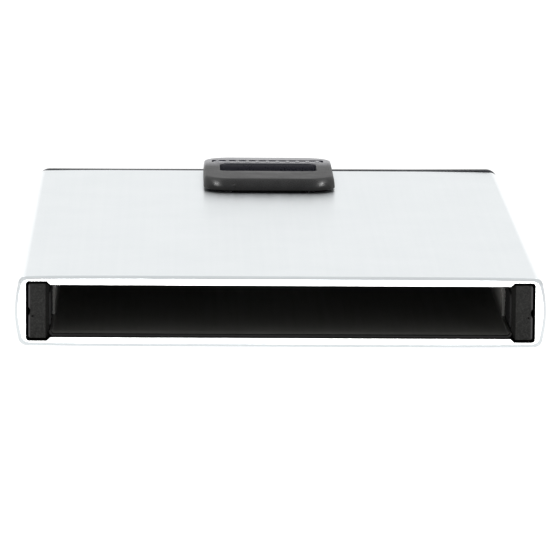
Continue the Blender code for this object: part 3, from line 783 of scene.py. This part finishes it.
def make_cap(mat):
    """End cap: softly rounded rim, a fine step line round its back, counterbored screws."""
    y0 = BACK_Y - 1.4
    inset = CAP_INSET
    ease, roll, roll_inset = 0.06, 0.35, 0.3
    profile = [(inset + ease, y0), (inset, y0 + ease), (inset, BACK_Y - roll)]
    for k in range(1, 6):
        angle = math.radians(18 * k)
        profile.append((inset + roll_inset * (1 - math.cos(angle)),
                        BACK_Y - roll + roll * math.sin(angle)))
    cap = loft("cap_fine", [along_y(cap_outline(i), y) for i, y in profile], [mat])
    plug = rounded_rectangle(-27.5, 27.5, CAP_LOW[1], BACK_Y - 0.7, 0.8)
    plug_low = MID_Z - CAVITY_HALF_HEIGHT + FIT_GAP
    plug_top = GUIDE_LOW[2] - FIT_GAP
    combine(cap, soft_prism_z("plug_tool", plug, plug_low, plug_top, 0.15, [mat]), "UNION")
    head_depth, through = 0.85, 6.0
    for side in (-1, 1):
        for radius, depth in ((SCREW_HEAD + FIT_GAP, head_depth), (BORE_RADIUS, through)):
            hole = circle(side * SCREW_X, 0.0, radius, 48)
            combine(cap, prism_y(hole, BACK_Y - depth, BACK_Y + 1, mat))
    line_depth = 0.08
    rim_outer = cap_outline(0.95)
    rim_inner = cap_outline(1.15)
    rings = [along_y(rim_outer, BACK_Y - line_depth), along_y(rim_outer, BACK_Y + 1),
             along_y(rim_inner, BACK_Y + 1), along_y(rim_inner, BACK_Y - line_depth)]
    combine(cap, loft("rim_line_tool", rings, [mat], closed=True))
    return place(cap, "case", "end_cap")


def cross_recess(centre_x, face_y, depth, reach, half):
    """Tapered four-armed driver recess for a screw that faces +Y."""
    outline = []
    for quarter in range(4):
        a = math.radians(90 * quarter)
        cos, sin = math.cos(a), math.sin(a)
        for u, v in ((reach, -half), (reach, half), (half * 1.4, half * 1.4)):
            outline.append((u * cos - v * sin, u * sin + v * cos))
    rings = []
    for scale, y in ((0.35, face_y - depth), (1.0, face_y), (1.0, face_y + 1)):
        rings.append([(centre_x + x * scale, y, MID_Z + z * scale) for x, z in outline])
    return loft("recess_tool", rings)


def make_cap_screw(name, side, mat):
    """Pan-topped screw with a cross recess and the ridges of a thread on its shank."""
    face_y = CAP_SCREW_HIGH[1]
    centre = side * SCREW_X
    tip_y = CAP_SCREW_LOW[1]
    core, crest, shank, pitch = 0.40, 0.5, 0.42, 0.5
    stations = [(0.02, tip_y), (0.22, tip_y + 0.25), (shank, tip_y + 0.7)]
    y = tip_y + 0.9
    while y < face_y - 1.4:
        stations += [(core, y), (crest, y + pitch * 0.45), (crest, y + pitch * 0.55)]
        y += pitch
    stations += [(shank, y), (shank, face_y - 0.45), (SCREW_HEAD - 0.05, face_y - 0.45),
                 (SCREW_HEAD, face_y - 0.38), (SCREW_HEAD, face_y - 0.2),
                 (SCREW_HEAD - 0.06, face_y - 0.07), (SCREW_HEAD - 0.2, face_y)]
    rings = [along_y(circle(centre, 0.0, radius, 40), y) for radius, y in stations]
    screw = loft(name + "_fine", rings, [mat], sharp=35)
    combine(screw, cross_recess(centre, face_y, 0.3, 0.62, 0.12), sharp=35)
    return place(screw, "case", name)


def make_bumper(mat):
    """Felt pad on the cap's plug: crowned, with pulled-in corners and a fuzzy surface."""
    bm = bmesh.new()
    nx, nz = 120, 12
    x0, x1 = BUMPER_LOW[0] + 0.2, BUMPER_HIGH[0] - 0.2
    z0, z1 = BUMPER_LOW[2] + 0.15, BUMPER_HIGH[2] - 0.15
    back_y = BUMPER_HIGH[1]
    thick = BUMPER_HIGH[1] - BUMPER_LOW[1]
    nap, glue = 0.02, 0.02
    rng = random.Random(11)
    front, rear = [], []
    for i in range(nx + 1):
        u = 2 * i / nx - 1
        for k in range(nz + 1):
            w = 2 * k / nz - 1
            edge = (1 - u ** 24) * (1 - w ** 8)
            x = (x0 + x1) / 2 + (x1 - x0) / 2 * u
            z = (z0 + z1) / 2 + (z1 - z0) / 2 * w
            fuzz = rng.uniform(-nap, nap)
            front.append((x, back_y - thick * (0.35 + 0.6 * edge ** 0.5) + fuzz, z))
            rear.append((x, back_y - glue, z))
    rows = nz + 1
    front_v = [bm.verts.new((x * MM, y * MM, z * MM)) for x, y, z in front]
    rear_v = [bm.verts.new((x * MM, y * MM, z * MM)) for x, y, z in rear]
    for i in range(nx):
        for k in range(nz):
            a, b = i * rows + k, (i + 1) * rows + k
            corners = (a, b, b + 1, a + 1)
            bm.faces.new([front_v[v] for v in corners])
            bm.faces.new([rear_v[v] for v in reversed(corners)])
    border = [i * rows for i in range(nx + 1)] + [nx * rows + k for k in range(1, rows)]
    border += [i * rows + nz for i in range(nx - 1, -1, -1)] + [k for k in range(nz - 1, 0, -1)]
    for a, b in zip(border, border[1:] + border[:1]):
        bm.faces.new((front_v[b], front_v[a], rear_v[a], rear_v[b]))
    bmesh.ops.recalc_face_normals(bm, faces=bm.faces)
    mesh = bpy.data.meshes.new("bumper_felt_pad")
    bm.to_mesh(mesh)
    bm.free()
    mesh.shade_smooth()
    mesh.materials.append(mat)
    pad = new_object("bumper_felt_pad", mesh)
    place(pad, "case", "end_bumper")
    return pad


# ---- the strap loop -----------------------------------------------------------------------
def loop_height(y):
    """Height of the loop's top face: nearly level in front, falling away over the back bar."""
    t = (y - SLOT_BACK_Y) / (LOOP_BACK_Y - SLOT_BACK_Y)
    return LOOP_TOP_Z - 0.06 * max(0.0, t) ** 2


def make_loop(mat, slot_mat, shaded_stem_mat):
    """One moulding: leaning front wall, round shoulders, strap slot, stem, and a mould seam."""
    steps, between = 9, 10
    low = LOOP_BASE_Z
    full = LOOP_TOP_Z - low
    half = LOOP_HIGH[0]

    def outer(side_inset, front_inset, back_inset):
        """Outline of the loop, with an inset of its own for sides, front and back."""
        return rounded_rectangle(-half + side_inset, half - side_inset,
                                 LOOP_FRONT_Y + front_inset, LOOP_BACK_Y - back_inset,
                                 LOOP_CORNER, steps, between)

    def slot(grow):
        """Outline of the strap slot, grown all round."""
        return rounded_rectangle(-SLOT_HALF_WIDTH - grow, SLOT_HALF_WIDTH + grow,
                                 SLOT_FRONT_Y - grow, SLOT_BACK_Y + grow, 0.9 + grow,
                                 steps, between)

    rings = []
    stations = ((0.14, 0.14, 0.14, 0.00), (0.04, 0.04, 0.04, 0.05), (0.0, 0.0, 0.0, 0.14),
                (0.01, 0.16, 0.01, 0.35), (0.03, 0.55, 0.03, 0.62), (0.06, 1.0, 0.07, 0.90),
                (0.10, 1.42, 0.15, 1.12), (0.15, 1.72, 0.26, 1.26), (0.22, 1.93, 0.38, 1.35),
                (0.33, 2.08, 0.52, 1.41), (0.46, 2.22, 0.68, 1.44))
    for side_inset, front_inset, back_inset, rise in stations:
        outline = outer(side_inset, front_inset, back_inset)
        rings.append([(x, y, low + rise + (loop_height(y) - LOOP_TOP_Z) * (rise / full) ** 2)
                      for x, y in outline])
    top_outer = outer(0.7, 2.5, 0.95)
    rings.append([(x, y, loop_height(y)) for x, y in top_outer])
    rim = slot(0.16)
    for t in (0.35, 0.7, 1.0):
        rings.append([(ax + (bx - ax) * t, ay + (by - ay) * t, loop_height(ay + (by - ay) * t))
                      for (ax, ay), (bx, by) in zip(top_outer, rim)])
    for grow, drop in ((0.08, 0.02), (0.02, 0.08), (0.0, 0.16)):
        rings.append([(x, y, loop_height(y) - drop) for x, y in slot(grow)])
    for grow, rise in ((0.0, 0.14), (0.03, 0.04), (0.12, 0.0)):
        rings.append(along_z(slot(grow), low + rise))
    loop = loft("loop_fine", rings, [mat], closed=True, sharp=40)
    paint_faces(loop, slot_mat, lambda centre, normal: abs(centre.x) < SLOT_HALF_WIDTH + 0.01
                and SLOT_FRONT_Y - 0.01 < centre.y < SLOT_BACK_Y + 0.01)

    stem = rounded_rectangle(-STEM_HALF_WIDTH, STEM_HALF_WIDTH, STEM_FRONT_Y, STEM_BACK_Y, 0.9)
    # The stem's faces get the near-black painted shade, standing in for the shade under the loop's front
    # edge.
    combine(loop, soft_prism_z("stem_tool", stem, LOOP_LOW[2], low + 0.4, 0.1, [shaded_stem_mat]), "UNION", 40)
    gap = 0.2
    pocket = rounded_rectangle(RIB_LOW[0] - gap, RIB_HIGH[0] + gap, RIB_LOW[1] - gap,
                               RIB_HIGH[1] + gap, 0.4)
    combine(loop, prism_z(pocket, RIB_LOW[2] - gap, LOOP_TOP_Z + 1, mat), sharp=40)
    seam_x, seam_half = -4.75, 0.035
    x0, x1 = seam_x - seam_half, seam_x + seam_half
    near, far = LOOP_FRONT_Y + 0.05, LOOP_FRONT_Y + 2
    seam = [[(x, y + lean, z) for x, y in ((x0, near), (x1, near), (x1, far), (x0, far))]
            for lean, z in ((-0.04, low + 0.2), (0.12, low + 0.45), (0.5, low + 0.75))]
    combine(loop, loft("seam_tool", seam, [mat]), "UNION", 40)
    return place(loop, "slider", "strap_loop")


def make_rib_band(mat):
    """Inlaid band of plain rounded cross ribs on the back bar."""
    base_z = RIB_LOW[2]
    count, span, thickness = 11, 14.0, 0.24
    half_x, half_y = 0.3, 0.65
    outline = rounded_rectangle(RIB_LOW[0], RIB_HIGH[0], RIB_LOW[1], RIB_HIGH[1], 0.3)
    band = soft_prism_z("rib_band", outline, base_z, base_z + thickness, 0.05, [mat])
    mid_y = (RIB_LOW[1] + RIB_HIGH[1]) / 2
    pitch = span / (count - 1)
    for i in range(count):
        x = -span / 2 + pitch * i
        shape = rounded_rectangle(x - half_x, x + half_x, mid_y - half_y, mid_y + half_y, 0.25, 6)
        rib = soft_prism_z("rib_tool", shape, base_z + 0.05, RIB_HIGH[2] - 0.06, 0.12, [mat])
        combine(band, rib, "UNION", 40)
    return place(band, "slider", "grip_rib_strip")


# ---- studio -------------------------------------------------------------------------------
def make_floor():
    """Pale light table without visible shadows; it glows brighter ahead of the mouth."""
    mesh = bpy.data.meshes.new("studio_floor")
    half = 4.0
    mesh.from_pydata([(-half, -half, 0), (half, -half, 0), (half, half, 0), (-half, half, 0)],
                     [], [(0, 1, 2, 3)])
    floor = new_object("studio_floor", mesh)
    floor.location.z = cad_box[0][2] - 0.00005
    n = Nodes("studio_floor")
    glow = n.along("Y", MOUTH_Y - 80, MOUTH_Y - 15, 2.2, 0.85)
    n.set(Base_Color=rgb(0.30, 0.30, 0.30), Roughness=1.0, Specular_IOR_Level=0.0,
          Emission_Color=rgb(1.0, 1.0, 1.0), Emission_Strength=glow)
    mesh.materials.append(n.material)


def make_world():
    """White studio, brightest near the horizon in front and behind, dimmer above and sideways."""
    world = bpy.data.worlds.new("studio")
    world.use_nodes = True
    tree = world.node_tree
    background = tree.nodes["Background"]
    direction = tree.nodes.new("ShaderNodeTexCoord").outputs["Generated"]
    split = tree.nodes.new("ShaderNodeSeparateXYZ")
    tree.links.new(direction, split.inputs[0])
    sideways = tree.nodes.new("ShaderNodeMath")
    sideways.operation = "ABSOLUTE"
    tree.links.new(split.outputs["X"], sideways.inputs[0])
    strength = tree.nodes.new("ShaderNodeMath")
    strength.operation = "MULTIPLY"
    ramps = ((split.outputs["Z"], 0.35, 0.95, 1.12, 0.85),
             (sideways.outputs[0], 0.55, 0.95, 1.0, 0.66))
    for factor, (value, *limits) in zip(strength.inputs, ramps):
        ramp = tree.nodes.new("ShaderNodeMapRange")
        for key, limit in zip(("From Min", "From Max", "To Min", "To Max"), limits):
            ramp.inputs[key].default_value = limit
        tree.links.new(value, ramp.inputs["Value"])
        tree.links.new(ramp.outputs["Result"], factor)
    tree.links.new(strength.outputs[0], background.inputs["Strength"])
    background.inputs["Color"].default_value = (1.0, 1.0, 1.0, 1.0)
    bpy.context.scene.world = world


def make_softbox(name, location, target, size, power):
    """Rectangular lamp at a place in metres, aimed at a target, of so many watts."""
    light = bpy.data.lights.new(name, "AREA")
    light.shape = "RECTANGLE"
    light.size, light.size_y = size
    light.energy = power
    obj = bpy.data.objects.new(name, light)
    obj.location = location
    aim = Vector(target) - Vector(location)
    obj.rotation_euler = aim.to_track_quat("-Z", "Y").to_euler()
    bpy.context.scene.collection.objects.link(obj)


def make_camera():
    """Long lens from slightly above the mouth and a touch to its left."""
    data = bpy.data.cameras.new("camera")
    data.sensor_width = 36.0
    data.lens = 317.3
    data.clip_start = 0.05
    data.clip_end = 20.0
    camera = bpy.data.objects.new("camera", data)
    position = (-0.01289, -0.64404, 0.10933)
    pitch, yaw, roll = math.radians(9.577), math.radians(1.222), math.radians(0.470)
    turn = (Matrix.Rotation(-yaw, 4, "Z") @ Matrix.Rotation(math.pi / 2 - pitch, 4, "X")
            @ Matrix.Rotation(roll, 4, "Z"))
    camera.matrix_world = Matrix.Translation(position) @ turn
    bpy.context.scene.collection.objects.link(camera)
    bpy.context.scene.camera = camera


def make_lights():
    """Low strip ahead that lights the mouth, and two high lamps behind that glint on the loop."""
    strip_x, strip_y, strip_z = -0.02, -0.27, 0.0045
    make_softbox("mouth_strip", (strip_x, strip_y, strip_z), (strip_x, 0, strip_z), (0.6, 0.007), 0.8)
    lamp_x, lamp_y, lamp_z, lamp_size = 0.31, 0.43, 0.82, 0.08
    for side, word in SIDES:
        make_softbox(word + "_lamp", (side * lamp_x, lamp_y, lamp_z), (0, 0, 0),
                     (lamp_size, lamp_size), 1.5)


# ---- build --------------------------------------------------------------------------------
def dress_cad_nodes(steel):
    """Materials for the pieces that keep their CAD shape: tray, carriage, springs, screws."""
    spring = turned_steel("spring_steel", 0.7, (400, 400, 9000), 0.2)
    guide = smooth_plastic("guide_black", rgb(0.012, 0.012, 0.012), rgb(0.02, 0.02, 0.02), 0.42)
    acetal = smooth_plastic("acetal_white", rgb(0.62, 0.62, 0.60), rgb(0.72, 0.72, 0.70), 0.38)
    carried = {"slide_guide": guide, "carriage": acetal}
    for _, word in SIDES:
        carried["detent_spring_" + word] = spring
        carried["carriage_screw_" + word] = steel
    for node, mat in carried.items():
        for slot in frame["nodes"][node].material_slots:
            slot.material = mat


def main():
    """Builds the studio and every piece, then dresses what stays as CAD."""
    make_camera()
    make_world()
    make_floor()
    make_lights()
    bpy.context.scene.view_settings.view_transform = "Standard"

    block_mat = speckled_block("block_black", rgb(0.004, 0.004, 0.0037), rgb(0.0155, 0.0155, 0.0145),
                               0.55, 0.75)
    steel = turned_steel("zinc_steel", 0.66, (2500, 2500, 2500), 0.25)
    shade_coat = painted_shade_black()
    make_sleeve(satin_aluminium(), milled_aluminium(), shade_coat)
    make_liner(liner_black("liner_black", 0.15, 0.34),
               wall_with_painted_light("liner_rolled_edge_painted_highlight", 1.0, 0.2, 0.45),
               wall_with_painted_light("liner_side_wall_painted_light", 0.3, 0.34, 0.70), shade_coat)
    pad_mat = rubber_pad()
    rear_front_y = box_mm("rear_block_right")[0][1]
    for side, word in SIDES:
        make_block("mouth_block_" + word, side, BLOCK_LOW[1], block_mat, True)
        make_block("rear_block_" + word, side, rear_front_y, block_mat, False)
        make_pad("grip_pad_" + word, side, pad_mat)
        make_cap_screw("cap_screw_" + word, side, steel)
    make_cap(cap_black())
    make_bumper(felt())
    loop = make_loop(loop_black("loop_black"), loop_black("slot_black", shine=0.5, sheen_tint=0.9), shade_coat)
    ribs = make_rib_band(loop_black("rib_black", shine=0.8, sheen_tint=1.0))
    for piece in (loop, ribs):
        piece.data.transform(Matrix.Translation((LOOP_PLAY * MM, 0, 0)))
    dress_cad_nodes(steel)


main()
